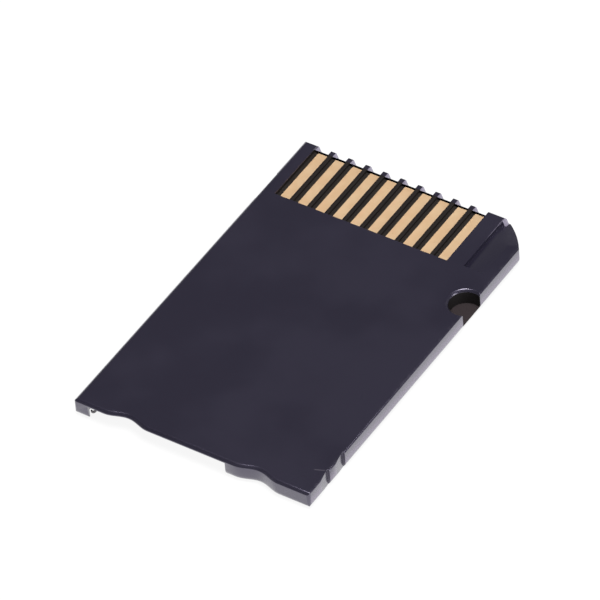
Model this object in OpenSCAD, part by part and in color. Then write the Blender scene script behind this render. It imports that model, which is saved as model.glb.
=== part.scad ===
// Adapter card that carries a micro card in a host slot for small cards.
// It lies on its label side. X runs across it, +Y points to the contact end and +Z up.
// The origin is the middle of its footprint, on the label side.

/* [Body] */
// Width across the adapter
body_w = 20; // [19.6:0.1:21]
// Length from the card end to the contact end
body_l = 31; // [30:0.1:34]
// Thickness from the label side to the contact side
body_t = 1.6; // [1.56:0.02:1.9]
// Radius of the long edge beside the first contact
left_edge_r = 0.45; // [0.2:0.05:0.6]
// Chamfer of the long edge beside the last contact
right_edge_c = 0.08; // [0.04:0.02:0.14]
// Chamfer across the contact end
front_edge_c = 0.2; // [0.1:0.02:0.3]
// Chamfer across the card end
rear_edge_c = 0.2; // [0.1:0.02:0.26]
// Radius of the edges round the label side
foot_r = 0.6; // [0.3:0.05:0.7]
// Radius of the plan corner between the card end and the saw-tooth cuts
rear_corner_r = 0.25; // [0.2:0.05:0.6]
// Radius of the plan corner between the card end and the side spring
mouth_corner_r = 0.3; // [0.25:0.05:0.7]
// Radius of the plan corner beside the first contact
front_corner_r = 0.3; // [0.15:0.05:0.5]

/* [Card end] */
// Distance of each finger scallop from the middle
scallop_x = 5.52; // [5.2:0.02:5.8]
// Width of a finger scallop
scallop_w = 3.7; // [3:0.1:4.2]
// Depth of a finger scallop
scallop_d = 0.42; // [0.2:0.02:0.6]
// Distance of the first saw-tooth cut's step from the card end
saw_1 = 2.75; // [2.4:0.05:2.85]
// Distance of the second saw-tooth cut's step from the card end
saw_2 = 4.75; // [4.5:0.05:5]
// Length of a saw-tooth cut
saw_l = 1.2; // [0.8:0.1:1.6]
// Depth of a saw-tooth cut
saw_d = 0.2; // [0.1:0.02:0.3]

/* [Side cuts] */
// Distance of the half-round notch from the contact end
notch_y = 9.1; // [8.6:0.1:9.6]
// Radius of the half-round notch
notch_r = 1.25; // [1.1:0.05:1.4]
// How far the notch's centre lies inside the side
notch_in = 0.5; // [0.3:0.05:0.6]
// Chamfer round the notch's mouth
notch_c = 0.17; // [0.06:0.01:0.2]
// Height of the notch's floor above the label side
notch_floor = 0.3; // [0.2:0.02:0.4]
// Distance of the shallow side recess from the contact end
recess_y = 3.9; // [3.4:0.1:4.4]
// Length of the shallow side recess
recess_l = 3.1; // [2.5:0.1:3.6]
// Depth of the shallow side recess
recess_d = 0.17; // [0.08:0.01:0.25]

/* [Cut corner] */
// How far the cut corner reaches along the contact end
corner_front = 2.2; // [1.8:0.1:2.5]
// How far the cut corner reaches along the side
corner_side = 2.45; // [2:0.05:3]
// How far the cut corner bulges out from a straight cut
corner_bulge = 0.14; // [0.1:0.02:0.3]
// Width of the pocket beside the last contact
pocket_w = 2.6; // [2.5:0.05:2.8]
// Length of the pocket from the contact end
pocket_l = 5.9; // [5:0.1:6.2]
// Depth of the pocket at its wall
pocket_d = 0.32; // [0.2:0.02:0.36]
// Width over which the pocket's floor rises to the face
pocket_rise = 1.85; // [1.5:0.05:2.1]
// Length of the corner's lead-in from the contact end
lead_in_l = 2.7; // [2.4:0.05:3]
// Depth that the corner's lead-in reaches at the contact end
lead_in_d = 0.6; // [0.5:0.02:0.8]

/* [Contacts] */
// Number of contact pads
pad_count = 10; // [8:1:10]
// Spacing of the contact pads
pad_pitch = 1.51; // [1.45:0.01:1.54]
// Distance of the first window's middle from the side
pad_first = 1.82; // [1.76:0.01:1.88]
// Width of a contact pad
pad_w = 0.78; // [0.6:0.02:0.86]
// Thickness of a contact pad
pad_t = 0.04; // [0.02:0.01:0.06]
// How far the board sits off the middle of the windows
pad_shift = 0.11; // [0:0.01:0.13]
// Width of a contact window
window_w = 1.2; // [1.12:0.01:1.22]
// Length of the contact windows from the contact end
window_l = 6; // [5.6:0.1:6.3]
// How far the ribs lie below the face
rib_drop = 0.12; // [0.04:0.02:0.16]
// Width of the flat part of each window's sill
sill_flat = 0.2; // [0.1:0.02:0.3]
// Depth of each window's sill at the contact end
sill_d = 0.7; // [0.6:0.02:0.76]
// How far a tooth flares out on each side
tooth_flare = 0.27; // [0.1:0.01:0.32]

/* [Walls] */
// Wall between the side and the card slot
slot_wall = 1.2; // [1.14:0.02:1.4]
// Wall between the side and the circuit board
board_wall = 1; // [0.9:0.02:1.1]
// Wall across the contact end
front_wall = 0.5; // [0.45:0.01:0.6]
// Plate over the card slot
plate_t = 0.3; // [0.28:0.01:0.32]
// Plate over the circuit board
face_t = 0.34; // [0.3:0.01:0.36]
// Thickness of the label cover
cover_t = 0.3; // [0.24:0.02:0.32]
// Rim of the housing round the label cover
rim_w = 0.7; // [0.65:0.01:0.75]
// Ledge in the housing that the label cover's edge lies on
ledge_w = 0.26; // [0.2:0.01:0.28]
// Gap between pieces that only lie beside each other
part_gap = 0.04; // [0.02:0.01:0.05]
// Depth of the label field in the cover
label_d = 0.06; // [0.03:0.01:0.08]
// Border of the cover round the label field
label_border = 0.8; // [0.5:0.1:1.2]

/* [Card slot] */
// Width of the micro card
card_w = 11; // [10.9:0.05:11.1]
// Thickness of the micro card
card_t = 0.7; // [0.66:0.01:0.72]
// Length of the micro card
card_l = 15; // [14.9:0.1:15.2]
// Room beside the card
card_side_gap = 0.05; // [0.02:0.01:0.1]
// Room beyond the card's inner end
card_end_gap = 0.2; // [0.1:0.05:0.4]
// Room above the card
card_top_gap = 0.06; // [0.03:0.01:0.08]
// Width of the channel for the side spring
spring_channel = 0.6; // [0.5:0.02:0.7]
// How far the label cover's end is set forward at the mouth
mouth_set = 2.2; // [1.8:0.1:2.6]
// Thickness of the lip in front of the recess for the spring's tip
lip_t = 0.28; // [0.2:0.02:0.4]
// Depth of the recess for the spring's tip
tip_room = 0.5; // [0.4:0.02:0.52]
// Length of the recess for the spring's tip
tip_room_l = 1.3; // [1:0.1:1.3]
// Width of the cover's rails under the card
rail_w = 0.5; // [0.4:0.05:0.7]

/* [Card contacts] */
// Number of spring fingers
finger_count = 8; // [6:1:8]
// Spacing of the spring fingers
finger_pitch = 1.1; // [1.05:0.01:1.15]
// Width of a spring finger
finger_w = 0.5; // [0.4:0.02:0.56]
// Thickness of the finger strip
finger_t = 0.1; // [0.08:0.01:0.12]
// Length of a finger from the carrier to its crest
finger_reach = 3.2; // [2.8:0.1:3.6]
// Length of the tip beyond the crest
finger_tip = 0.5; // [0.4:0.05:0.6]
// How far a crest stands into the card's space
finger_press = 0.08; // [0.04:0.01:0.12]
// Length of the contact carrier
carrier_l = 2.5; // [2.2:0.1:2.8]
// Margin of the carrier beyond the outer fingers
carrier_margin = 0.9; // [0.7:0.1:1.1]

/* [Side spring] */
// Thickness of the side spring's strip
spring_t = 0.1; // [0.08:0.01:0.12]
// Height of the side spring's strip
spring_h = 0.2; // [0.16:0.02:0.5]
// Length of the side spring from the mouth
spring_l = 9.5; // [8.5:0.1:10.5]
// Length of the spring's tab that sits in the wall
spring_tab = 0.5; // [0.4:0.02:0.54]
// How far the spring's tip lies inside the card end
spring_set = 0.05; // [0.03:0.01:0.3]
// How far the spring's bow stands into the card's space
spring_press = 0.12; // [0.06:0.01:0.15]
// Radius of the spring's curled tip
curl_r = 0.1; // [0.08:0.01:0.14]

/* [Electronics] */
// Thickness of the circuit board
board_t = 0.38; // [0.34:0.01:0.4]
// Margin of the board beyond the last window
board_margin = 0.55; // [0.45:0.05:0.6]
// Side of the controller chip
chip_w = 5; // [4.5:0.1:5.4]
// Thickness of the controller chip
chip_t = 0.5; // [0.4:0.01:0.52]
// Length of a small component
smd_l = 1; // [0.9:0.05:1.1]
// Width of a small component
smd_w = 0.5; // [0.45:0.01:0.55]
// Thickness of a small component
smd_t = 0.35; // [0.3:0.01:0.4]
// Spacing of the small components
smd_pitch = 1.4; // [1.3:0.05:1.5]

/* [Hidden] */
$fn = 48;
eps = 0.01;
over = 1;
round_steps = 8;

// Outer faces
side_x = body_w / 2;
rear_y = -body_l / 2;
front_y = body_l / 2;

// Heights of the layers
card_roof_z = body_t - plate_t;
card_floor_z = card_roof_z - card_t - card_top_gap;
board_top_z = body_t - face_t;
board_low_z = board_top_z - board_t;
rib_z = body_t - rib_drop;
sill_z = body_t - sill_d;

// Card slot in plan: the card lies against the far wall, the spring beside the near one
slot_x0 = -side_x + slot_wall;
card_x0 = slot_x0 + spring_channel;
slot_x1 = card_x0 + card_w + 2 * card_side_gap;
card_mid_x = (card_x0 + slot_x1) / 2;
card_end_y = rear_y + card_l + card_end_gap;

// Contact row in plan
window_x0 = -side_x + pad_first;
function window_x(i) = window_x0 + i * pad_pitch;
row_x0 = window_x(0) - window_w / 2;
row_x1 = window_x(pad_count - 1) + window_w / 2;
window_y0 = front_y - window_l;
wall_y = front_y - front_wall;
pocket_x = side_x - pocket_w;

// Circuit board and its bay: the card stops at the carrier, a little before the board
board_set = 0.6;
bay_x0 = -side_x + board_wall;
board_x0 = bay_x0 + part_gap;
board_x1 = row_x1 + board_margin;
bay_x1 = board_x1 + part_gap;
board_y0 = card_end_y + board_set + part_gap;
board_y1 = wall_y - part_gap;
post_w = 0.6;

// Carrier and fingers
carrier_z0 = cover_t + part_gap;
root_z = carrier_z0 + finger_t;
crest_z = card_floor_z + finger_press;
carrier_x0 = card_mid_x - (finger_count - 1) / 2 * finger_pitch - carrier_margin;
carrier_x1 = card_mid_x + (finger_count - 1) / 2 * finger_pitch + carrier_margin;
tail_l = 0.8;
riser_y = card_end_y + carrier_l + part_gap;
tail_y = riser_y + tail_l;

// Label cover in plan
cover_x0 = -side_x + rim_w + part_gap;
cover_x1 = side_x - rim_w - part_gap;
cover_y0 = rear_y + mouth_set;
cover_y1 = front_y - rim_w - part_gap;
bay_y1 = cover_y1 - ledge_w;

// Step in the cover that passes round the notch
inset_x = side_x - notch_in - notch_r - rim_w;
inset_y0 = front_y - notch_y - notch_r - rim_w;
inset_y1 = front_y - notch_y + notch_r + rim_w;

function arc(cx, cy, r, a0, a1, n = round_steps) = [for (i = [0:n]) let (a = a0 + (a1 - a0) * i / n)
    [cx + r * cos(a), cy + r * sin(a)]];

// Edge of the card end at a place across the body, with both finger scallops
function scallop(dx) = abs(dx) > scallop_w / 2 ? 0 : scallop_d * (1 + cos(360 * dx / scallop_w)) / 2;
function rear_edge(x) = rear_y + scallop(x - scallop_x) + scallop(x + scallop_x);

// Places across the body where the card end's edge is drawn
scallop_steps = 16;
rear_places = concat(
    [-side_x - over],
    [for (i = [0:scallop_steps]) -scallop_x + scallop_w * (i / scallop_steps - 0.5)],
    [for (i = [0:scallop_steps]) scallop_x + scallop_w * (i / scallop_steps - 0.5)],
    [side_x + over]);

// Circle of the cut corner, from its chord and bulge
corner_chord = norm([corner_front, corner_side]);
corner_r = (corner_chord * corner_chord / 4 + corner_bulge * corner_bulge) / (2 * corner_bulge);
corner_out = [corner_side, corner_front] / corner_chord;
corner_mid = [side_x - corner_front / 2, front_y - corner_side / 2];
corner_c = corner_mid - (corner_r - corner_bulge) * corner_out;

// Plan outline, anticlockwise from the corner beside the spring
function saw_points(step) = let (y = rear_y + step)
    [[side_x, y - saw_l], [side_x - saw_d, y], [side_x, y]];
outline = concat(
    arc(-side_x + mouth_corner_r, rear_y + mouth_corner_r, mouth_corner_r, 180, 270),
    [for (i = [1:len(rear_places) - 2]) [rear_places[i], rear_edge(rear_places[i])]],
    arc(side_x - rear_corner_r, rear_y + rear_corner_r, rear_corner_r, 270, 360),
    saw_points(saw_1), saw_points(saw_2),
    [[side_x, front_y]],
    arc(-side_x + front_corner_r, front_y - front_corner_r, front_corner_r, 90, 180),
    [[-side_x, front_y - recess_y], [-side_x + recess_d, front_y - recess_y],
     [-side_x + recess_d, front_y - recess_y - recess_l], [-side_x, front_y - recess_y - recess_l]]);

// Section across the body, looking along it
cross_section = concat(
    arc(side_x - foot_r, foot_r, foot_r, 270, 360),
    [[side_x, body_t - right_edge_c], [side_x - right_edge_c, body_t]],
    arc(-side_x + left_edge_r, body_t - left_edge_r, left_edge_r, 90, 180),
    arc(-side_x + foot_r, foot_r, foot_r, 180, 270));

// Section along the body, looking across it
long_section = concat(
    [[rear_y - over, 0]],
    arc(front_y - foot_r, foot_r, foot_r, 270, 360),
    [[front_y, body_t - front_edge_c], [front_y - front_edge_c, body_t], [rear_y - over, body_t]]);

// Sections of what is cut off along the card end's edge, as [inwards, up]
rear_top_cut = [[-over, body_t - rear_edge_c - over], [over, body_t - rear_edge_c + over],
    [-over, body_t + over]];
rear_foot_cut = concat(
    [[-over, foot_r], [-over, -over], [foot_r, -over]],
    arc(foot_r, foot_r, foot_r, 270, 180));

// Solid with one section carried along the scalloped edge of the card end
module rear_sweep(section) {
    n = len(section);
    places = len(rear_places);
    points = [for (x = rear_places) for (s = section) [x, rear_edge(x) + s[0], s[1]]];
    sides = [for (i = [0:places - 2]) for (j = [0:n - 1]) let (k = (j + 1) % n)
        each [[i * n + j, (i + 1) * n + k, i * n + k], [i * n + j, (i + 1) * n + j, (i + 1) * n + k]]];
    ends = [[for (j = [0:n - 1]) j], [for (j = [n - 1:-1:0]) (places - 1) * n + j]];
    polyhedron(points, concat(sides, ends), convexity = 6);
}

module along_y(y0, y1) {
    translate([0, y1, 0]) rotate([90, 0, 0]) linear_extrude(y1 - y0) children();
}

module along_x(x0, x1) {
    translate([x0, 0, 0]) rotate([90, 0, 90]) linear_extrude(x1 - x0) children();
}

module block(x0, x1, y0, y1, z0, z1) {
    translate([x0, y0, z0]) cube([x1 - x0, y1 - y0, z1 - z0]);
}

// Region outside the cut corner's curve, with the label side's edge rounded
module corner_cut() {
    difference() {
        block(side_x - corner_front - over, side_x + over, front_y - corner_side - over, front_y + over,
            -over, body_t + over);
        translate([corner_c[0], corner_c[1], 0]) rotate_extrude($fn = 96) polygon(concat(
            [[0, -2 * over], [corner_r - foot_r, -2 * over]],
            arc(corner_r - foot_r, foot_r, foot_r, 270, 360),
            [[corner_r, body_t + 2 * over], [0, body_t + 2 * over]]));
    }
}

// Outer form, before anything is taken out of it
module blank() {
    difference() {
        intersection() {
            linear_extrude(body_t) polygon(outline);
            along_y(rear_y - over, front_y + over) polygon(cross_section);
            along_x(-side_x - over, side_x + over) polygon(long_section);
        }
        corner_cut();
        rear_sweep(rear_top_cut);
        rear_sweep(rear_foot_cut);
    }
}

// Half-round notch in the side, with a chamfered mouth and a floor that follows the side
module notch() {
    translate([side_x - notch_in, front_y - notch_y, 0]) {
        translate([0, 0, notch_floor]) cylinder(r = notch_r, h = body_t + over);
        translate([0, 0, body_t - notch_c])
            cylinder(r1 = notch_r, r2 = notch_r + 2 * notch_c, h = 2 * notch_c);
    }
}

// Pocket beside the last contact: its floor curves up from the wall to the face
pocket_curve_r = (pocket_rise * pocket_rise + pocket_d * pocket_d) / (2 * pocket_d);
pocket_steps = 10;
module pocket() {
    top_x = pocket_x + pocket_rise;
    along_y(front_y - pocket_l, front_y + over) polygon(concat(
        [[pocket_x, body_t + over], [pocket_x, body_t - pocket_d]],
        [for (i = [1:pocket_steps]) let (x = pocket_rise * (1 - i / pocket_steps))
            [top_x - x, body_t - pocket_curve_r + sqrt(pocket_curve_r * pocket_curve_r - x * x)]],
        [[top_x, body_t + over]]));
    along_x(pocket_x, side_x + over) polygon([
        [front_y - lead_in_l, body_t], [front_y + lead_in_l, body_t - 2 * lead_in_d],
        [front_y + lead_in_l, body_t + over], [front_y - lead_in_l, body_t + over]]);
}

// Windows over the pads, with the shallow recess that drops the ribs and teeth below the face
module windows() {
    block(row_x0, row_x1, window_y0, front_y + over, rib_z, body_t + over);
    for (i = [0:pad_count - 1]) {
        block(window_x(i) - window_w / 2, window_x(i) + window_w / 2, window_y0, wall_y,
            board_top_z - eps, body_t + over);
        translate([window_x(i), 0, 0]) sill();
    }
}

// Lead-in at the contact end of one window: a sill that is flat and then falls, between two flared teeth
module sill() {
    half = window_w / 2;
    slope = (board_top_z - sill_z) / (front_wall - sill_flat);
    intersection() {
        along_x(-half, half) polygon([
            [wall_y - sill_flat, board_top_z], [wall_y + sill_flat, board_top_z],
            [front_y + over, sill_z - slope * over], [front_y + over, body_t + over],
            [wall_y - sill_flat, body_t + over]]);
        along_y(wall_y - sill_flat, front_y + over) polygon([
            [-half, body_t + over], [-half, body_t], [-half + tooth_flare, sill_z],
            [-half + tooth_flare, 0], [half - tooth_flare, 0], [half - tooth_flare, sill_z],
            [half, body_t], [half, body_t + over]]);
    }
}

// Gusset that widens the pocket's wall at the contact end
module wall_gusset() {
    intersection() {
        along_y(wall_y, front_y) polygon([
            [pocket_x - eps, body_t], [pocket_x, body_t], [pocket_x + tooth_flare, sill_z],
            [pocket_x + tooth_flare, foot_r], [pocket_x - eps, foot_r]]);
        along_x(pocket_x - over, pocket_x + over) polygon(long_section);
    }
}

// Space for the card, open at the mouth and towards the label cover, with a recess beside the spring's tip
module card_space() {
    block(slot_x0, slot_x1, rear_y - over, board_y0 + part_gap, -over, card_roof_z);
    block(slot_x0 - tip_room, slot_x0 + eps, rear_y + lip_t, rear_y + lip_t + tip_room_l,
        -over, card_roof_z);
    block(slot_x0 - spring_tab - part_gap, slot_x0 + eps, spring_root_y - part_gap,
        spring_root_y + spring_t + part_gap, -over, spring_z1 + part_gap);
}

// Bay for the board and its small parts, with a pocket for the board's edge at the contact end
module board_bay() {
    block(bay_x0, bay_x1, board_y0 - part_gap, wall_y, board_low_z - part_gap, board_top_z);
    block(bay_x0, bay_x1, board_y0 - part_gap, bay_y1, -over, board_top_z);
}

// Hollows beside the card slot that keep the walls even, with ribs between them for the cover's pegs
peg_r = 0.35;
peg_h = 0.45;
peg_in = 1.7;
core_wall = 0.9;
core_roof = 0.45;
core_rib = 1.3;
core_x0 = slot_x1 + core_wall;
core_x1 = side_x - core_wall - saw_d;
core_y0 = cover_y0 + ledge_w;
core_y1 = min(card_end_y, inset_y0 - 2 * peg_in);
core_l = (core_y1 - core_y0 - 2 * core_rib) / 3;
pegs = concat(
    [for (i = [1:2]) [(core_x0 + core_x1) / 2, core_y0 + i * (core_l + core_rib) - core_rib / 2]],
    [[side_x - peg_in, inset_y0 - peg_in], [side_x - peg_in, inset_y1 + peg_in]]);
module cores() {
    for (i = [0:2])
        translate([0, core_y0 + i * (core_l + core_rib), 0])
            block(core_x0, core_x1, 0, core_l, -over, body_t - core_roof);
}

// Rebate that the label cover lies in
module cover_rebate() {
    translate([0, 0, -over]) linear_extrude(over + cover_t) polygon(cover_outline(part_gap));
}

// Plan of the label cover, grown by a gap: it passes inside the notch and the cut corner
cover_corner = 0.4;
function cover_outline(g) = concat(
    [[cover_x1 + g, cover_y0 - g], [cover_x1 + g, inset_y0 + g], [inset_x + g, inset_y0 + g],
     [inset_x + g, inset_y1 - g], [cover_x1 + g, inset_y1 - g],
     [cover_x1 + g, front_y - corner_side - rim_w + g], [side_x - corner_front - rim_w + g, cover_y1 + g]],
    arc(cover_x0 + cover_corner, cover_y1 - cover_corner, cover_corner + g, 90, 180),
    arc(cover_x0 + cover_corner, cover_y0 + cover_corner, cover_corner + g, 180, 270));

module contact_shell() {
    color([0.19, 0.18, 0.22]) {
        difference() {
            blank();
            notch();
            pocket();
            windows();
            card_space();
            board_bay();
            cores();
            cover_rebate();
            for (p = pegs) translate([p[0], p[1], cover_t - eps])
                cylinder(r = peg_r + part_gap, h = peg_h + part_gap + eps, $fn = 32);
        }
        wall_gusset();
    }
}

module label_cover() {
    color([0.17, 0.16, 0.2]) {
        difference() {
            linear_extrude(cover_t) polygon(cover_outline(0));
            // Field for a label
            block(cover_x0 + label_border, inset_x - label_border, cover_y0 + label_border,
                cover_y1 - label_border, -over, label_d);
        }
        // Rails that carry the card's edges, clear of the fingers
        rail_y1 = card_end_y - finger_reach - finger_tip - rail_w;
        block(slot_x0 + part_gap, card_x0 + rail_w, cover_y0, rail_y1, cover_t - eps, card_floor_z);
        block(slot_x1 - rail_w, slot_x1 - part_gap, cover_y0, rail_y1, cover_t - eps, card_floor_z);
        // Posts that carry the board near its corners
        for (x = [board_x0 + part_gap, inset_x - 2 * rim_w - post_w])
            for (y = [tail_y + part_gap, bay_y1 - 2 * post_w])
                block(x, x + post_w, y, y + post_w, cover_t - eps, board_low_z);
        for (p = pegs) translate([p[0], p[1], cover_t - eps])
            cylinder(r = peg_r, h = peg_h + eps, $fn = 32);
    }
}

module circuit_board() {
    color([0.1, 0.08, 0.07])
        block(board_x0, board_x1, board_y0, board_y1, board_low_z, board_top_z);
}

// One gold pad with softly rounded corners
pad_corner = 0.06;
module contact_pad(i) {
    x0 = window_x(i) + pad_shift - pad_w / 2;
    y0 = window_y0 + part_gap;
    y1 = board_y1;
    color([0.86, 0.72, 0.52]) translate([0, 0, board_top_z]) linear_extrude(pad_t) polygon(concat(
        arc(x0 + pad_corner, y0 + pad_corner, pad_corner, 180, 270, 3),
        arc(x0 + pad_w - pad_corner, y0 + pad_corner, pad_corner, 270, 360, 3),
        arc(x0 + pad_w - pad_corner, y1 - pad_corner, pad_corner, 0, 90, 3),
        arc(x0 + pad_corner, y1 - pad_corner, pad_corner, 90, 180, 3)));
}

function finger_x(i) = card_mid_x + (i - (finger_count - 1) / 2) * finger_pitch;

module contact_carrier() {
    color([0.13, 0.13, 0.14]) difference() {
        block(carrier_x0, carrier_x1, card_end_y, card_end_y + carrier_l, carrier_z0, board_low_z);
        for (i = [0:finger_count - 1])
            block(finger_x(i) - finger_w / 2 - part_gap / 2, finger_x(i) + finger_w / 2 + part_gap / 2,
                card_end_y - over, card_end_y + carrier_l + over, root_z, root_z + finger_t);
    }
}

// One spring finger: tail under the board, root through the carrier, arm up to its crest
module card_contact(i) {
    crest_y = card_end_y - finger_reach;
    tail_z = board_low_z - finger_t;
    upper = [
        [crest_y - finger_tip, root_z + finger_t], [crest_y - finger_tip / 4, crest_z - finger_t / 4],
        [crest_y, crest_z], [crest_y + finger_tip / 4, crest_z - finger_t / 4],
        [card_end_y, root_z + finger_t],
        [riser_y, root_z + finger_t], [riser_y, board_low_z], [tail_y, board_low_z]];
    lower = [
        [tail_y, tail_z], [riser_y + finger_t, tail_z], [riser_y + finger_t, root_z],
        [card_end_y, root_z], [crest_y + finger_tip / 4, crest_z - finger_t * 5 / 4],
        [crest_y, crest_z - finger_t], [crest_y - finger_tip / 4, crest_z - finger_t * 5 / 4],
        [crest_y - finger_tip, root_z]];
    color([0.85, 0.7, 0.45])
        along_x(finger_x(i) - finger_w / 2, finger_x(i) + finger_w / 2) polygon(concat(upper, lower));
}

// Side spring in plan: a tab in the wall, a bow into the card's space and a curled tip
spring_z0 = (card_floor_z + card_roof_z - spring_h) / 2;
spring_z1 = spring_z0 + spring_h;
spring_root_x = slot_x0 + part_gap;
spring_root_y = rear_y + spring_l - spring_t;
curl_x = card_x0 - curl_r - spring_t - part_gap;
curl_y = rear_y + spring_set + curl_r + spring_t;
bow_steps = 14;
function spring_line(t) = [
    (1 - t) * spring_root_x + t * (curl_x + curl_r) + spring_bow * (1 - cos(360 * t)) / 2,
    spring_root_y + (curl_y - spring_root_y) * t];
spring_bow = card_x0 + spring_press - spring_t - (spring_root_x + curl_x + curl_r) / 2;
module card_spring() {
    inner = [for (i = [0:bow_steps]) spring_line(i / bow_steps)];
    outer = [for (i = [bow_steps:-1:0]) spring_line(i / bow_steps) + [spring_t, 0]];
    color([0.34, 0.33, 0.35]) translate([0, 0, spring_z0]) linear_extrude(spring_h) polygon(concat(
        [[slot_x0 - spring_tab, spring_root_y + spring_t], [slot_x0 - spring_tab, spring_root_y]], inner,
        arc(curl_x, curl_y, curl_r, 0, -150),
        arc(curl_x, curl_y, curl_r + spring_t, -150, 0),
        outer, [[spring_root_x + spring_t, spring_root_y + spring_t]]));
}

// The chip lies midway between the fingers' tails and the end of the bay
chip_x = (board_x0 + board_x1) / 2;
chip_y = (tail_y + bay_y1) / 2;
module controller_chip() {
    color([0.08, 0.08, 0.09])
        block(chip_x - chip_w / 2, chip_x + chip_w / 2, chip_y - chip_w / 2, chip_y + chip_w / 2,
            board_low_z - chip_t, board_low_z);
}

// Small components stand in two columns beside the chip
module small_component(column, row, shade) {
    x = chip_x + column * (chip_w / 2 + smd_l + smd_w);
    y = chip_y + row * smd_pitch;
    color(shade) block(x - smd_l / 2, x + smd_l / 2, y - smd_w / 2, y + smd_w / 2,
        board_low_z - smd_t, board_low_z);
}

contact_shell();
label_cover();
circuit_board();
contact_carrier();
card_spring();
controller_chip();
for (i = [1:pad_count]) contact_pad(i - 1);
for (i = [1:finger_count]) card_contact(i - 1);
for (i = [1:2]) small_component(-1, 2 * i - 3, [0.55, 0.42, 0.3]);
for (i = [1:4]) small_component(1, i - 2.5, [0.12, 0.12, 0.13]);
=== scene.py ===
import math

import bmesh
import bpy
from mathutils import Matrix, Vector


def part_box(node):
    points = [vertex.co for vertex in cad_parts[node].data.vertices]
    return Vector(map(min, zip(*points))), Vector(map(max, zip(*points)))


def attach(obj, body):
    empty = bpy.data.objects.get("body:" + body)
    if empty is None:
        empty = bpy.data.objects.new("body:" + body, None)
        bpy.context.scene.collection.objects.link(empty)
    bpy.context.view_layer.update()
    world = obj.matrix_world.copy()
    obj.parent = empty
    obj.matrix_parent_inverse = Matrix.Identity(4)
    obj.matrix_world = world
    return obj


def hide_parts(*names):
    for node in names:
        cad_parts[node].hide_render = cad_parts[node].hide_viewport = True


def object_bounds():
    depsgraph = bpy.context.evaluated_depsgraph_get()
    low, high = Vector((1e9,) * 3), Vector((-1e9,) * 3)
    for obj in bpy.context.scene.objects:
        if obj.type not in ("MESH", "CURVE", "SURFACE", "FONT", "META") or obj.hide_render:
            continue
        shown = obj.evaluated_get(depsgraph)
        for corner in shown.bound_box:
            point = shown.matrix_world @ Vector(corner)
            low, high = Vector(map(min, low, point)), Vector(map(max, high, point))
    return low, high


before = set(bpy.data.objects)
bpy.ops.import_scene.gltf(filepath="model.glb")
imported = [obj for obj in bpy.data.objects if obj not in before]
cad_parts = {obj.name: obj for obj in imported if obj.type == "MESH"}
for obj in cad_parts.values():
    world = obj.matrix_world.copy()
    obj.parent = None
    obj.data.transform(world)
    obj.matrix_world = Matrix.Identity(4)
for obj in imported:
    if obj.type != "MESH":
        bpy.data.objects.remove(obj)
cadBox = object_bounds()
mm = 0.001
print("frame loaded:", len(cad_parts), "nodes")


# Working by hand: what is active, what is selected

def pickOnly(piece):
    if bpy.context.mode != "OBJECT":
        bpy.ops.object.mode_set(mode="OBJECT")
    bpy.ops.object.select_all(action="DESELECT")
    piece.select_set(True)
    bpy.context.view_layer.objects.active = piece


def startEdit(piece):
    pickOnly(piece)
    bpy.ops.object.mode_set(mode="EDIT")
    bpy.ops.mesh.select_mode(type="EDGE")
    bpy.ops.mesh.select_all(action="SELECT")


def endEdit():
    bpy.ops.object.mode_set(mode="OBJECT")


def selectEdges(piece, wanted):
    # wanted is asked for each edge of the piece in edit mode
    bpy.ops.mesh.select_all(action="DESELECT")
    bpy.ops.mesh.select_mode(type="EDGE")
    form = bmesh.from_edit_mesh(piece.data)
    for edge in form.edges:
        edge.select_set(wanted(edge))
    bmesh.update_edit_mesh(piece.data)


def selectFaces(piece, wanted):
    bpy.ops.mesh.select_all(action="DESELECT")
    bpy.ops.mesh.select_mode(type="FACE")
    form = bmesh.from_edit_mesh(piece.data)
    for face in form.faces:
        face.select_set(wanted(face))
    bmesh.update_edit_mesh(piece.data)


def isUpright(edge):
    along = edge.verts[1].co - edge.verts[0].co
    return abs(along.z) > 0.9 * along.length


def isRim(edge, z):
    # an edge that runs round the outline at one height
    return all(abs(v.co.z - z) < 0.001 * mm for v in edge.verts)


def applyBevel(piece, width, segments, angle=30):
    pickOnly(piece)
    bevel = piece.modifiers.new("softEdges", "BEVEL")
    bevel.width = width
    bevel.segments = segments
    bevel.limit_method = "ANGLE"
    bevel.angle_limit = math.radians(angle)
    bevel.use_clamp_overlap = False
    bevel.miter_outer = "MITER_ARC"
    bpy.ops.object.modifier_apply(modifier=bevel.name)


def keepInside(piece, node):
    # no softened corner stands out of the solid's own box
    low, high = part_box(node)
    for corner in piece.data.vertices:
        corner.co = [min(max(value, least), most) for value, least, most in zip(corner.co, low, high)]


def smooth(piece, angle=32):
    # the large faces keep their own direction, and the small rounds bend between them
    pickOnly(piece)
    bpy.ops.object.shade_smooth_by_angle(angle=math.radians(angle))
    weights = piece.modifiers.new("faceWeights", "WEIGHTED_NORMAL")
    weights.keep_sharp = True
    weights.weight = 60
    bpy.ops.object.modifier_apply(modifier=weights.name)


def newBlock(name, low, high):
    bpy.ops.object.select_all(action="DESELECT")
    bpy.ops.mesh.primitive_cube_add(size=1, location=(low + high) / 2, scale=high - low)
    piece = bpy.context.active_object
    piece.name = name
    bpy.ops.object.transform_apply(location=True, rotation=True, scale=True)
    return piece


def newDisc(name, radius, depth, place, sides=32):
    bpy.ops.object.select_all(action="DESELECT")
    bpy.ops.mesh.primitive_cylinder_add(vertices=sides, radius=radius, depth=depth, location=place)
    piece = bpy.context.active_object
    piece.name = name
    bpy.ops.object.transform_apply(location=True, rotation=True, scale=True)
    return piece


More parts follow.
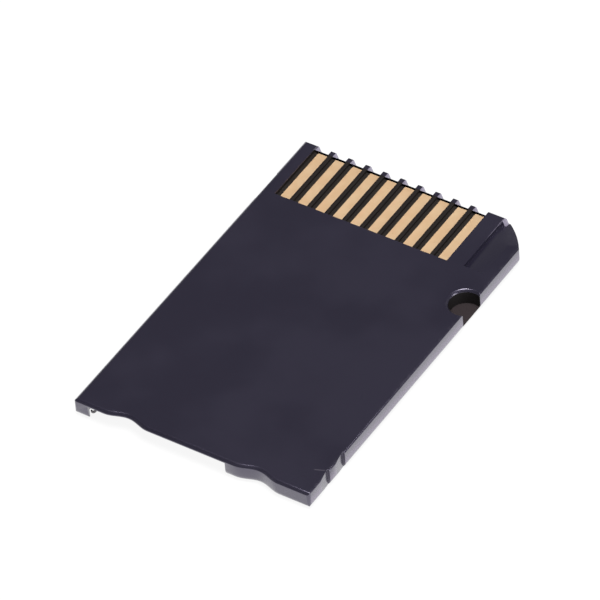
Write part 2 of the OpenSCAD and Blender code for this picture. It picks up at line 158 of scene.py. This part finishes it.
def copyOfNode(node, name, weld=0.001 * mm):
    # the node's own mesh stays as it is; its copy is welded and cleared of flat joints
    piece = bpy.data.objects.new(name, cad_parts[node].data.copy())
    bpy.context.scene.collection.objects.link(piece)
    piece.data.materials.clear()
    pickOnly(piece)
    bpy.ops.mesh.customdata_custom_splitnormals_clear()
    startEdit(piece)
    bpy.ops.mesh.remove_doubles(threshold=weld)
    bpy.ops.mesh.dissolve_limited(angle_limit=math.radians(0.4))
    endEdit()
    return piece


def copyTo(piece, name, shift):
    twin = bpy.data.objects.new(name, piece.data.copy())
    bpy.context.scene.collection.objects.link(twin)
    twin.data.transform(Matrix.Translation(shift))
    return twin


def joinInto(piece, others):
    pickOnly(piece)
    for other in others:
        other.select_set(True)
    bpy.ops.object.join()
    return piece


def place(piece, slotName, look, nodes=()):
    # finish of a piece: what it is made of, what it rides on and what it stands for
    piece.data.materials.clear()
    piece.data.materials.append(look)
    for face in piece.data.polygons:
        face.material_index = 0
    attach(piece, "root")
    if nodes:
        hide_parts(*nodes)
    return piece


# Shader maths: a wire is one socket, and sums with wires add their nodes

class Wire:
    def __init__(self, tree, socket):
        self.tree = tree
        self.socket = socket

    def node(self, kind, settings=None, inputs=None, out=0):
        made = self.tree.nodes.new("ShaderNode" + kind)
        for name, value in (settings or {}).items():
            if name == "stops":
                fillRamp(made.color_ramp, value)
            else:
                setattr(made, name, value)
        for name, value in (inputs or {}).items():
            socket = [s for s in made.inputs if s.enabled and s.name == name][0]
            if isinstance(value, Wire):
                self.tree.links.new(value.socket, socket)
            else:
                socket.default_value = value
        outs = [s for s in made.outputs if s.enabled]
        return Wire(self.tree, outs[out] if isinstance(out, int) else made.outputs[out])

    def maths(self, operation, first, second=None, third=None):
        made = self.tree.nodes.new("ShaderNodeMath")
        made.operation = operation
        for socket, value in zip(made.inputs, (first, second, third)):
            if isinstance(value, Wire):
                self.tree.links.new(value.socket, socket)
            elif value is not None:
                socket.default_value = value
        return Wire(self.tree, made.outputs[0])

    def __add__(self, other):
        return self.maths("ADD", self, other)

    def __radd__(self, other):
        return self.maths("ADD", other, self)

    def __sub__(self, other):
        return self.maths("SUBTRACT", self, other)

    def __rsub__(self, other):
        return self.maths("SUBTRACT", other, self)

    def __mul__(self, other):
        return self.maths("MULTIPLY", self, other)

    def __rmul__(self, other):
        return self.maths("MULTIPLY", other, self)

    def __abs__(self):
        return self.maths("ABSOLUTE", self)

    def larger(self, other):
        return self.maths("MAXIMUM", self, other)

    def smaller(self, other):
        return self.maths("MINIMUM", self, other)

    def rise(self, low, high):
        # 0 below low, 1 above high, smooth between them
        return self.node("MapRange", {"interpolation_type": "SMOOTHSTEP"},
                         {"Value": self, "From Min": low, "From Max": high}, "Result")

    def split(self):
        return [self.node("SeparateXYZ", None, {"Vector": self}, axis) for axis in "XYZ"]

    def stretched(self, x, y, z):
        return self.node("Mapping", None, {"Vector": self, "Scale": (x, y, z)}, "Vector")

    def noise(self, size, detail=3.0, roughness=0.5):
        return self.node("TexNoise", None, {"Vector": self, "Scale": 1 / size, "Detail": detail,
                                            "Roughness": roughness}, 0)

    def within(self, low, high, soft):
        # 1 between low and high, fading to 0 over the soft distance outside them
        return self.rise(low - soft, low) * (1 - self.rise(high, high + soft))

    def mix(self, first, second):
        # this wire is the share of the second colour
        return self.node("Mix", {"data_type": "RGBA"}, {"Factor": self, "A": solid(first),
                                                        "B": solid(second)}, 0)

    def bump(self, strength, distance):
        return self.node("Bump", None, {"Height": self, "Strength": strength, "Distance": distance}, 0)


def solid(colour):
    return colour if isinstance(colour, Wire) else (*colour, 1.0)


def fillRamp(ramp, stops):
    while len(ramp.elements) < len(stops):
        ramp.elements.new(1.0)
    for element, (where, colour) in zip(ramp.elements, stops):
        element.position = where
        element.color = solid(colour)


def newMaterial(name, build):
    made = bpy.data.materials.new(name)
    made.use_nodes = True
    tree = made.node_tree
    tree.nodes.clear()
    here = Wire(tree, tree.nodes.new("ShaderNodeTexCoord").outputs["Object"])
    output = tree.nodes.new("ShaderNodeOutputMaterial")
    tree.links.new(build(here).socket, output.inputs["Surface"])
    return made


def surface(here, **sockets):
    names = {name.replace("_", " "): value for name, value in sockets.items()}
    return here.node("BsdfPrincipled", None, names, 0)


def blendShaders(share, first, second):
    blend = share.node("MixShader", None, {"Fac": share}, 0)
    for number, shader in ((1, first), (2, second)):
        share.tree.links.new(shader.socket, blend.socket.node.inputs[number])
    return blend


# Moulded plastic of the housing and the cover

mouldedLook = {
    "colour": (0.0105, 0.0092, 0.0195),
    "paleColour": (0.0125, 0.0112, 0.0225),
    "sideSheenColour": (0.105, 0.082, 0.130),   # painted reflection: the long sides' outer faces are paler, standing in for the bright surroundings they reflect
    "rubbedColour": (0.050, 0.048, 0.060),
    "flowSize": 6 * mm,        # slow drift of the colour through the moulding
    "grainSize": 0.11 * mm,    # spark eroded grain of the mould
    "grainDepth": 0.0012 * mm,
    "waveSize": 1.7 * mm,      # slow unevenness of the faces
    "waveDepth": 0.0016 * mm,
    "scratchLength": 1.6 * mm,
    "scratchWidth": 0.05 * mm,
    "patchSize": 2.3 * mm,     # the rub marks come in patches
    "wearSize": 0.5 * mm,
    "wearIn": 0.35 * mm,       # how far the wear reaches in from a long edge, and down
    "wearDown": 0.3 * mm,
    "wearShare": 0.35,
    "markShare": 0.12,
    "roughness": 0.27,
    "grainRoughness": 0.05,
    "markRoughness": 0.10,
    "flowRoughness": 0.04,
    "coat": 1.0,
    "coatRoughness": 0.16,
    "specular": 1.0,
    "specularTint": (0.80, 0.72, 1.0),
    "ior": 1.6,
    "facetHighlightColour": (0.22, 0.20, 0.26),     # painted highlight on the teeth's facets that face the last contact's side
    # painted highlight along the pocket wall's upper edge
    "wallEdgeHighlightColour": (0.085, 0.075, 0.105),
    # painted highlight along a short crease near the card end
    "creaseHighlightColour": (0.055, 0.050, 0.065),
    "rowColour": (0.0135, 0.0105, 0.0100),  # duller between the windows
    # painted shade inside the notch
    "notchShadeColour": (0.0075, 0.0060, 0.0062),
    # painted reflection: the notch's floor paler than the moulding
    "ledgeReflectionColour": (0.030, 0.022, 0.024),
    "dullRoughness": 0.6,
    "dullSpecular": 0.2,
}

# Places on the housing that differ from the plain moulding, in the part's own frame: where highlights and
# shade are painted, and where the plastic is duller
spots = {
    "rowStart": -8.78 * mm,
    "rowEnd": 6.01 * mm,
    "rowPitch": 1.51 * mm,
    "rowNear": 9.5 * mm,
    "teethStart": 15.0 * mm,
    "ribDrop": 0.12 * mm,
    "facetWidth": 0.27 * mm,
    "wallX": 7.4 * mm,
    "wallEnd": 12.7 * mm,
    "notchX": 9.5 * mm,
    "notchY": 6.4 * mm,
    "notchRadius": 1.25 * mm,
    "notchChamfer": 0.17 * mm,
    "notchFloor": 0.3 * mm,
    "crease": (9.37 * mm, -13.05 * mm),
    "creaseWay": (0.929, 0.370),
}


def notchShares(here, faceZ):
    # the share of the notch's inside, which gets painted shade, and that of its floor, which gets a painted
    # reflection
    x, y, z = here.split()
    across = x - spots["notchX"]
    along = y - spots["notchY"]
    radius = here.maths("SQRT", across * across + along * along)
    inside = 1 - radius.rise(spots["notchRadius"] + 0.02 * mm, spots["notchRadius"] + 0.08 * mm)
    top = faceZ - spots["notchChamfer"]
    inside = inside * (1 - z.rise(top - 0.05 * mm, top + 0.02 * mm))
    return inside, 1 - z.rise(spots["notchFloor"] + 0.02 * mm, spots["notchFloor"] + 0.05 * mm)


def paintedHighlightShares(here, faceZ):
    # the shares of the painted highlights: on the facets at the contact end and along the pocket wall's
    # upper edge
    x, y, z = here.split()
    row = x.within(spots["rowStart"], spots["rowEnd"], 0.01 * mm)
    step = here.maths("MODULO", (x - spots["rowStart"]).larger(0.0), spots["rowPitch"])
    facetHighlight = row * (1 - step.rise(spots["facetWidth"], spots["facetWidth"] + 0.03 * mm))
    gusset = x.within(spots["wallX"] + 0.02 * mm, spots["wallX"] + spots["facetWidth"], 0.03 * mm)
    low = 1 - z.rise(faceZ - spots["ribDrop"] - 0.03 * mm, faceZ - spots["ribDrop"])
    facetHighlight = facetHighlight * low + gusset * (1 - z.rise(faceZ - 0.05 * mm, faceZ - 0.01 * mm))
    facetHighlight = facetHighlight * y.rise(spots["teethStart"], spots["teethStart"] + 0.05 * mm)
    # painted highlight along the pocket wall's upper edge
    edge = x.within(spots["wallX"] - 0.035 * mm, spots["wallX"] + 0.03 * mm, 0.01 * mm)
    edge = edge * z.rise(faceZ - 0.06 * mm, faceZ - 0.04 * mm)
    edge = edge * y.rise(spots["wallEnd"], spots["wallEnd"] + mm)
    return facetHighlight.smaller(1.0), edge


def creaseHighlightShare(here, faceZ):
    # a painted highlight along a short crease near the card end
    x, y, z = here.split()
    awayX = x - spots["crease"][0]
    awayY = y - spots["crease"][1]
    wayX, wayY = spots["creaseWay"]
    along = abs(awayX * wayX + awayY * wayY)
    across = abs(awayY * wayX - awayX * wayY)
    line = (1 - along.rise(0.3 * mm, 0.48 * mm)) * (1 - across.rise(0.02 * mm, 0.07 * mm))
    return line * z.rise(faceZ - 0.05 * mm, faceZ - 0.02 * mm)


def rowShare(here, faceZ):
    # the duller plastic of the ribs and of the walls round the pads
    x, y, z = here.split()
    row = x.within(spots["rowStart"] - 0.01 * mm, spots["rowEnd"] + 0.01 * mm, 0.02 * mm)
    row = row * y.within(spots["rowNear"] - 0.01 * mm, spots["teethStart"], 0.02 * mm)
    return row * (1 - z.rise(faceZ - 0.09 * mm, faceZ - 0.05 * mm))


def mouldedPlastic(name, look, edgeX, faceZ):
    def build(here):
        x, y, z = here.split()
        flow = here.noise(look["flowSize"], 2.0).rise(0.35, 0.65)
        grain = here.noise(look["grainSize"], 2.0, 0.6)
        wave = here.noise(look["waveSize"], 1.0)
        # long faint rub marks along the way the adapter slides
        marks = here.stretched(1 / look["scratchWidth"], 1 / look["scratchLength"], 1 / look["scratchWidth"])
        marks = marks.noise(1.0, 2.0, 0.7).rise(0.66, 0.74)
        marks = marks * here.noise(look["patchSize"], 2.0).rise(0.5, 0.7)
        # wear where the long edges slide in the host's slot
        edge = abs(x).rise(edgeX - look["wearIn"], edgeX) * z.rise(faceZ - look["wearDown"], faceZ)
        worn = edge * here.noise(look["wearSize"], 3.0).rise(0.42, 0.7)
        colour = flow.mix(look["colour"], look["paleColour"])
        # painted reflection on the outer faces of the long sides, fading towards the contact side
        side = abs(x).rise(edgeX - 0.03 * mm, edgeX - 0.005 * mm)
        side = side * (1 - z.rise(faceZ - 1.0 * mm, faceZ - 0.1 * mm))
        colour = side.mix(colour, look["sideSheenColour"])
        # painted highlights on the teeth's facets and along the pocket wall's upper edge
        facetHighlight, wallEdgeHighlight = paintedHighlightShares(here, faceZ)
        colour = facetHighlight.mix(colour, look["facetHighlightColour"])
        colour = wallEdgeHighlight.mix(colour, look["wallEdgeHighlightColour"])
        # painted highlight along the crease
        colour = creaseHighlightShare(here, faceZ).mix(colour, look["creaseHighlightColour"])
        colour = (look["wearShare"] * worn + look["markShare"] * marks).mix(colour, look["rubbedColour"])
        roughness = look["roughness"] + look["grainRoughness"] * grain
        roughness = roughness + look["markRoughness"] * marks + look["flowRoughness"] * flow
        height = grain * (look["grainDepth"] / mm) + wave * (look["waveDepth"] / mm)
        moulded = surface(here, Base_Color=colour, Roughness=roughness, IOR=look["ior"],
                          Specular_IOR_Level=look["specular"], Specular_Tint=(*look["specularTint"], 1.0),
                          Coat_Weight=look["coat"], Coat_Roughness=look["coatRoughness"],
                          Normal=height.bump(1.0, mm))
        # painted shade inside the notch and a painted reflection on its floor; elsewhere the duller rows
        notch, ledge = notchShares(here, faceZ)
        dullAndPaintedNotchColour = notch.mix(look["rowColour"], ledge.mix(look["notchShadeColour"], look["ledgeReflectionColour"]))
        dull = surface(here, Base_Color=dullAndPaintedNotchColour, Roughness=look["dullRoughness"],
                       Specular_IOR_Level=look["dullSpecular"], Normal=height.bump(1.0, mm))
        return blendShaders(notch.larger(rowShare(here, faceZ)), moulded, dull)
    return newMaterial(name, build)


# Gold of the pads and fingers

goldLook = {
    "colour": (0.90, 0.66, 0.42),
    "paleColour": (0.93, 0.71, 0.47),
    "tarnish": (0.62, 0.40, 0.22),
    "roughness": 0.64,
    "grainSize": 0.05 * mm,
    "grainDepth": 0.0010 * mm,
    "streakLength": 2.5 * mm,
    "streakWidth": 0.06 * mm,
    "streakDepth": 0.0006 * mm,
    "cloudSize": 1.1 * mm,
    "spotSize": 0.3 * mm,
    "spotShare": 0.25,
    "streakRoughness": 0.08,
    "grainRoughness": 0.05,
}


def goldPlate(name, look, roughness):
    def build(here):
        streaks = here.stretched(1 / look["streakWidth"], 1 / look["streakLength"], 1 / look["streakWidth"])
        streaks = streaks.noise(1.0, 3.0, 0.6)
        cloud = here.noise(look["cloudSize"], 2.0).rise(0.3, 0.7)
        grain = here.noise(look["grainSize"], 2.0)
        specks = here.noise(look["spotSize"], 3.0).rise(0.68, 0.78)
        colour = cloud.mix(look["colour"], look["paleColour"])
        colour = (look["spotShare"] * specks).mix(colour, look["tarnish"])
        finish = roughness + look["streakRoughness"] * streaks + look["grainRoughness"] * grain
        height = streaks * (look["streakDepth"] / mm) + grain * (look["grainDepth"] / mm)
        return surface(here, Base_Color=colour, Metallic=1.0, Roughness=finish,
                       Normal=height.bump(1.0, mm))
    return newMaterial(name, build)


# Steel of the side spring, with the rolling lines of the strip

steelLook = {
    "colour": (0.16, 0.15, 0.16),
    "darkColour": (0.09, 0.085, 0.09),
    "roughness": 0.34,
    "lineLength": 3 * mm,
    "lineWidth": 0.03 * mm,
}


def springSteel(name, look):
    def build(here):
        lines = here.stretched(1 / look["lineLength"], 1 / look["lineLength"], 1 / look["lineWidth"])
        lines = lines.noise(1.0, 3.0, 0.6)
        stain = here.noise(0.8 * mm, 3.0).rise(0.4, 0.7)
        colour = stain.mix(look["colour"], look["darkColour"])
        return surface(here, Base_Color=colour, Metallic=1.0, Roughness=look["roughness"] + 0.15 * lines,
                       Normal=lines.bump(0.4, 0.002 * mm))
    return newMaterial(name, build)


# Tin on the small components' ends and the solder joints

tinLook = {
    "colour": (0.62, 0.62, 0.63),
    "dullAndPaintedNotchColour": (0.45, 0.45, 0.46),
    "roughness": 0.36,
}


def solderTin(name, look):
    def build(here):
        cloud = here.noise(0.25 * mm, 3.0).rise(0.35, 0.7)
        grain = here.noise(0.04 * mm, 2.0)
        colour = cloud.mix(look["colour"], look["dullAndPaintedNotchColour"])
        return surface(here, Base_Color=colour, Metallic=1.0, Roughness=look["roughness"] + 0.2 * cloud,
                       Normal=grain.bump(0.5, 0.002 * mm))
    return newMaterial(name, build)


# Dark lacquered laminate of the board, with the weave showing faintly through it

boardLook = {
    "colour": (0.014, 0.0105, 0.009),
    "weaveColour": (0.024, 0.018, 0.014),
    "weaveSize": 0.32 * mm,
    "roughness": 0.38,
}


def boardLacquer(name, look):
    def build(here):
        x, y = here.split()[:2]
        turn = 2 * math.pi / look["weaveSize"]
        weave = here.maths("SINE", x * turn) * here.maths("SINE", y * turn)
        cloud = here.noise(0.9 * mm, 3.0)
        colour = (weave.rise(-0.6, 0.8) * cloud).mix(look["colour"], look["weaveColour"])
        return surface(here, Base_Color=colour, Roughness=look["roughness"] + 0.12 * cloud,
                       Normal=weave.bump(0.3, 0.003 * mm))
    return newMaterial(name, build)


# Plain moulded bodies: the carrier, the chip and the small components

def plainBody(name, colour, otherColour, roughness, grainSize, grainDepth):
    def build(here):
        cloud = here.noise(8 * grainSize, 3.0).rise(0.35, 0.65)
        grain = here.noise(grainSize, 3.0, 0.6)
        return surface(here, Base_Color=cloud.mix(colour, otherColour), Roughness=roughness + 0.12 * grain,
                       Normal=grain.bump(0.6, grainDepth))
    return newMaterial(name, build)


edgeX = cadBox[1][0]
faceZ = cadBox[1][2]
housingPlastic = mouldedPlastic("housingPlastic", mouldedLook, edgeX, faceZ)
coverLook = {**mouldedLook, "grainSize": 0.15 * mm, "coat": 0.6}
coverPlastic = mouldedPlastic("coverPlastic", coverLook, edgeX, faceZ)
padGold = goldPlate("padGold", goldLook, goldLook["roughness"])
fingerGold = goldPlate("fingerGold", goldLook, 0.3)
stripSteel = springSteel("stripSteel", steelLook)
jointTin = solderTin("jointTin", tinLook)
boardLaminate = boardLacquer("boardLaminate", boardLook)
# name: colour, second colour, roughness, grain size, grain depth
plainLooks = {
    "carrierPlastic": ((0.028, 0.028, 0.031), (0.036, 0.036, 0.04), 0.42, 0.06 * mm, 0.002 * mm),
    "chipPlastic": ((0.016, 0.016, 0.018), (0.024, 0.024, 0.026), 0.55, 0.03 * mm, 0.003 * mm),
    "ceramicTan": ((0.34, 0.23, 0.14), (0.40, 0.28, 0.18), 0.5, 0.03 * mm, 0.002 * mm),
    "filmBlack": ((0.015, 0.015, 0.018), (0.022, 0.022, 0.026), 0.3, 0.05 * mm, 0.001 * mm),
}
carrierPlastic, chipPlastic, ceramicTan, filmBlack = (plainBody(n, *v) for n, v in plainLooks.items())
print("materials made:", len(bpy.data.materials))


# The two moulded halves: copies of the solids with every edge softened

shellEdges = {"weld": 0.022 * mm, "width": 0.03 * mm, "segments": 2}
shell = copyOfNode("contact_shell", "moulded_shell", shellEdges["weld"])
applyBevel(shell, shellEdges["width"], shellEdges["segments"])
keepInside(shell, "contact_shell")
smooth(shell)
place(shell, "housing", housingPlastic, ["contact_shell"])

coverEdges = {"width": 0.03 * mm, "segments": 2}
cover = copyOfNode("label_cover", "moulded_cover")
applyBevel(cover, coverEdges["width"], coverEdges["segments"])
keepInside(cover, "label_cover")
smooth(cover)
place(cover, "cover", coverPlastic, ["label_cover"])
print("moulded halves made:", len(shell.data.polygons), "and", len(cover.data.polygons), "faces")


# Gold pads: one plate with rounded corners and a soft upper edge, copied along the row

padForm = {"cornerRadius": 0.06 * mm, "rimRadius": 0.012 * mm}
padNodes = sorted((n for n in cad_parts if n.startswith("contact_pad_")), key=lambda n: int(n[12:]))
padLow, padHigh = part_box(padNodes[0])
pad = newBlock("gold_pad_1", padLow, padHigh)
startEdit(pad)
selectEdges(pad, isUpright)
bpy.ops.mesh.bevel(offset=padForm["cornerRadius"], segments=4, affect="EDGES")
selectEdges(pad, lambda edge: isRim(edge, padHigh.z))
bpy.ops.mesh.bevel(offset=padForm["rimRadius"], segments=2, affect="EDGES")
endEdit()
smooth(pad)
for node in padNodes[1:]:
    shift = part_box(node)[0] - padLow
    twin = copyTo(pad, "gold_pad_" + node[12:], shift)
    place(twin, "pad_gold", padGold, [node])
place(pad, "pad_gold", padGold, [padNodes[0]])
print("pads made:", len(padNodes))


# Board, carrier, fingers and side spring

innerEdges = {"board": 0.02 * mm, "carrier": 0.03 * mm, "strip": 0.015 * mm, "stripAngle": 50,
              "stripBend": 40}
board = copyOfNode("circuit_board", "laminate_board")
applyBevel(board, innerEdges["board"], 2)
smooth(board)
place(board, "board", boardLaminate, ["circuit_board"])

carrier = copyOfNode("contact_carrier", "finger_carrier")
applyBevel(carrier, innerEdges["carrier"], 2)
smooth(carrier)
place(carrier, "carrier", carrierPlastic, ["contact_carrier"])

fingerNodes = sorted((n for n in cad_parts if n.startswith("card_contact_")), key=lambda n: int(n[13:]))
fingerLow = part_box(fingerNodes[0])[0]
finger = copyOfNode(fingerNodes[0], "spring_finger_1")
applyBevel(finger, innerEdges["strip"], 2, innerEdges["stripAngle"])
smooth(finger, innerEdges["stripBend"])
for node in fingerNodes[1:]:
    twin = copyTo(finger, "spring_finger_" + node[13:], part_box(node)[0] - fingerLow)
    place(twin, "contact_spring", fingerGold, [node])
place(finger, "contact_spring", fingerGold, [fingerNodes[0]])

sideSpring = copyOfNode("card_spring", "leaf_spring")
applyBevel(sideSpring, innerEdges["strip"], 2, innerEdges["stripAngle"])
smooth(sideSpring, innerEdges["stripBend"])
place(sideSpring, "side_spring", stripSteel, ["card_spring"])
print("card slot made")


# Chip with its lands, and the small components with tinned ends

chipForm = {"dimpleRadius": 0.3 * mm, "dimpleDepth": 0.03 * mm, "dimpleIn": 0.7 * mm, "landPitch": 0.5 * mm,
            "landWidth": 0.24 * mm, "landReach": 0.012 * mm, "landHeight": 0.1 * mm, "edge": 0.03 * mm}
chipLow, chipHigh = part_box("controller_chip")
chip = newBlock("chip_package", chipLow, chipHigh)
dimple = newDisc("dimple", chipForm["dimpleRadius"], 2 * chipForm["dimpleDepth"],
                 (chipLow.x + chipForm["dimpleIn"], chipLow.y + chipForm["dimpleIn"], chipLow.z))
pickOnly(chip)
cut = chip.modifiers.new("dimple", "BOOLEAN")
cut.operation = "DIFFERENCE"
cut.solver = "EXACT"
cut.object = dimple
bpy.ops.object.modifier_apply(modifier=cut.name)
bpy.data.objects.remove(dimple)
applyBevel(chip, chipForm["edge"], 2)
landCount = int((chipHigh.x - chipLow.x) / chipForm["landPitch"]) - 1
half = (chipHigh - chipLow) / 2
middle = (chipHigh + chipLow) / 2
reach = chipForm["landWidth"] / 2
landHalf = Vector((reach, reach, chipForm["landHeight"] / 2))
lands = []
for number in range(landCount):
    along = (number - (landCount - 1) / 2) * chipForm["landPitch"]
    for alongX in (True, False):
        for side in (-1, 1):
            if alongX:
                shift = (along, side * (half.y + chipForm["landReach"] - reach))
            else:
                shift = (side * (half.x + chipForm["landReach"] - reach), along)
            spot = Vector((middle.x + shift[0], middle.y + shift[1], chipHigh.z - landHalf.z))
            lands.append(newBlock("land", spot - landHalf, spot + landHalf))
for land in lands:
    land.data.materials.clear()
    land.data.materials.append(jointTin)
place(chip, "chip", chipPlastic, ["controller_chip"])
joinInto(chip, lands)
smooth(chip)
print("chip made with", len(lands), "lands")

tinEnds = {"share": 0.22, "proud": 0.012 * mm, "round": 0.018 * mm}


def tinnedComponent(node, name, slotName, bodyLook):
    # the body's middle is drawn in a little, so that the tinned ends stand proud
    low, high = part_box(node)
    length = high.x - low.x
    cuts = (low.x + tinEnds["share"] * length, high.x - tinEnds["share"] * length)
    piece = newBlock(name, low, high)
    for cutX in cuts:
        startEdit(piece)
        bpy.ops.mesh.bisect(plane_co=(cutX, 0, 0), plane_no=(1, 0, 0))
        endEdit()
    startEdit(piece)
    selectFaces(piece, lambda face: cuts[0] < face.calc_center_median().x < cuts[1])
    bpy.ops.mesh.extrude_region_shrink_fatten(TRANSFORM_OT_shrink_fatten={"value": -tinEnds["proud"]})
    endEdit()
    applyBevel(piece, tinEnds["round"] / 2, 2)
    smooth(piece)
    place(piece, slotName, bodyLook, [node])
    piece.data.materials.append(jointTin)
    for face in piece.data.polygons:
        if not cuts[0] < face.center.x < cuts[1]:
            face.material_index = 1
    return piece


for number in (1, 2):
    tinnedComponent(f"capacitor_{number}", f"ceramic_capacitor_{number}", "capacitor", ceramicTan)
for number in (1, 2, 3, 4):
    tinnedComponent(f"resistor_{number}", f"film_resistor_{number}", "resistor", filmBlack)
print("electronics made")


# Camera at the photograph's viewing angle, in millimetres about the body's middle

cameraSet = {
    "azimuth": 35.833,
    "elevation": 43.809,
    "roll": -4.987,
    "lens": 455.0,
    "distance": 546.94,
    "aimHeight": 0.8,
    "shiftRight": -0.525,
    "shiftUp": 1.482,
}


def setCamera(look):
    azimuth = math.radians(look["azimuth"])
    elevation = math.radians(look["elevation"])
    roll = math.radians(look["roll"])
    back = Vector((math.sin(azimuth) * math.cos(elevation), -math.cos(azimuth) * math.cos(elevation),
                   math.sin(elevation)))
    level = Vector((math.cos(azimuth), math.sin(azimuth), 0))
    right = level * math.cos(roll) + back.cross(level) * math.sin(roll)
    up = back.cross(right)
    spot = (Vector((0, 0, look["aimHeight"])) + look["shiftRight"] * right + look["shiftUp"] * up
            + look["distance"] * back) * mm
    camera = bpy.data.objects.new("camera", bpy.data.cameras.new("camera"))
    bpy.context.scene.collection.objects.link(camera)
    turn = Matrix((right, up, back)).transposed().to_4x4()
    camera.matrix_world = Matrix.Translation(spot) @ turn
    camera.data.lens = look["lens"]
    camera.data.clip_start = 0.01
    camera.data.clip_end = 100
    bpy.context.scene.camera = camera


setCamera(cameraSet)


# Stage: a pale floor that shows white, soft lamps and a plain sky

stageSet = {
    "floorSize": 40,
    "floorGap": 0.01 * mm,
    "floorColour": (0.80, 0.80, 0.81),
    "shadowShare": 0.1,        # how much of the floor's white comes from the lamps
    "skyHorizon": 0.22,
    "skyTop": 0.07,
    "skyDiffuse": 0.45,
}

lamps = [
    # name, azimuth it shines from, elevation, distance, size, watts
    ("overhead", 60, 80, 0.9, 0.5, 8.5),
    ("rightSide", 95, 18, 0.9, 0.4, 2.0),
]


def addLamp(name, azimuth, elevation, distance, size, watts):
    a = math.radians(azimuth)
    e = math.radians(elevation)
    toLamp = Vector((math.sin(a) * math.cos(e), -math.cos(a) * math.cos(e), math.sin(e)))
    lamp = bpy.data.objects.new(name, bpy.data.lights.new(name, "AREA"))
    bpy.context.scene.collection.objects.link(lamp)
    lamp.data.shape = "DISK"
    lamp.data.size = size
    lamp.data.energy = watts
    lamp.location = toLamp * distance
    lamp.rotation_euler = toLamp.to_track_quat("Z", "Y").to_euler()
    lamp.visible_camera = False


def whiteFloor(look):
    def build(here):
        seen = here.node("LightPath", None, None, "Is Camera Ray")
        glossy = Wire(here.tree, seen.socket.node.outputs["Is Glossy Ray"])
        through = Wire(here.tree, seen.socket.node.outputs["Is Transmission Ray"])
        share = look["shadowShare"]
        matt = here.node("BsdfDiffuse", None, {"Color": (*look["floorColour"], 1)}, 0)
        faint = here.node("BsdfDiffuse", None, {"Color": (share, share, share, 1)}, 0)
        glow = here.node("Emission", None, {"Color": (1, 1, 1, 1), "Strength": 1 - share}, 0)
        white = here.node("AddShader", None, None, 0)
        here.tree.links.new(faint.socket, white.socket.node.inputs[0])
        here.tree.links.new(glow.socket, white.socket.node.inputs[1])
        return blendShaders(seen.larger(glossy).larger(through), matt, white)
    return newMaterial("whiteFloor", build)


def setSky(look):
    world = bpy.data.worlds.new("studio")
    bpy.context.scene.world = world
    world.use_nodes = True
    tree = world.node_tree
    tree.nodes.clear()
    way = Wire(tree, tree.nodes.new("ShaderNodeTexCoord").outputs["Generated"])
    height = way.split()[2]
    camera = way.node("LightPath", None, None, "Is Camera Ray")
    glossy = Wire(tree, camera.socket.node.outputs["Is Glossy Ray"])
    through = Wire(tree, camera.socket.node.outputs["Is Transmission Ray"])
    gradient = height.node("MapRange", {"interpolation_type": "SMOOTHSTEP"},
                           {"Value": height, "From Min": 0.05, "From Max": 0.6,
                            "To Min": look["skyHorizon"], "To Max": look["skyTop"]}, "Result")
    shown = camera.larger(through)
    level = glossy * gradient + (1 - glossy) * look["skyDiffuse"]
    level = shown + (1 - shown) * level
    sky = way.node("Background", None, {"Color": (1, 1, 1, 1), "Strength": level}, 0)
    output = tree.nodes.new("ShaderNodeOutputWorld")
    tree.links.new(sky.socket, output.inputs["Surface"])


bpy.ops.object.select_all(action="DESELECT")
bpy.ops.mesh.primitive_plane_add(size=stageSet["floorSize"], location=(0, 0, -stageSet["floorGap"]))
floor = bpy.context.active_object
floor.name = "floor"
floor.data.materials.append(whiteFloor(stageSet))
for lamp in lamps:
    addLamp(*lamp)
setSky(stageSet)
bpy.context.scene.view_settings.view_transform = "Standard"
print("stage set")
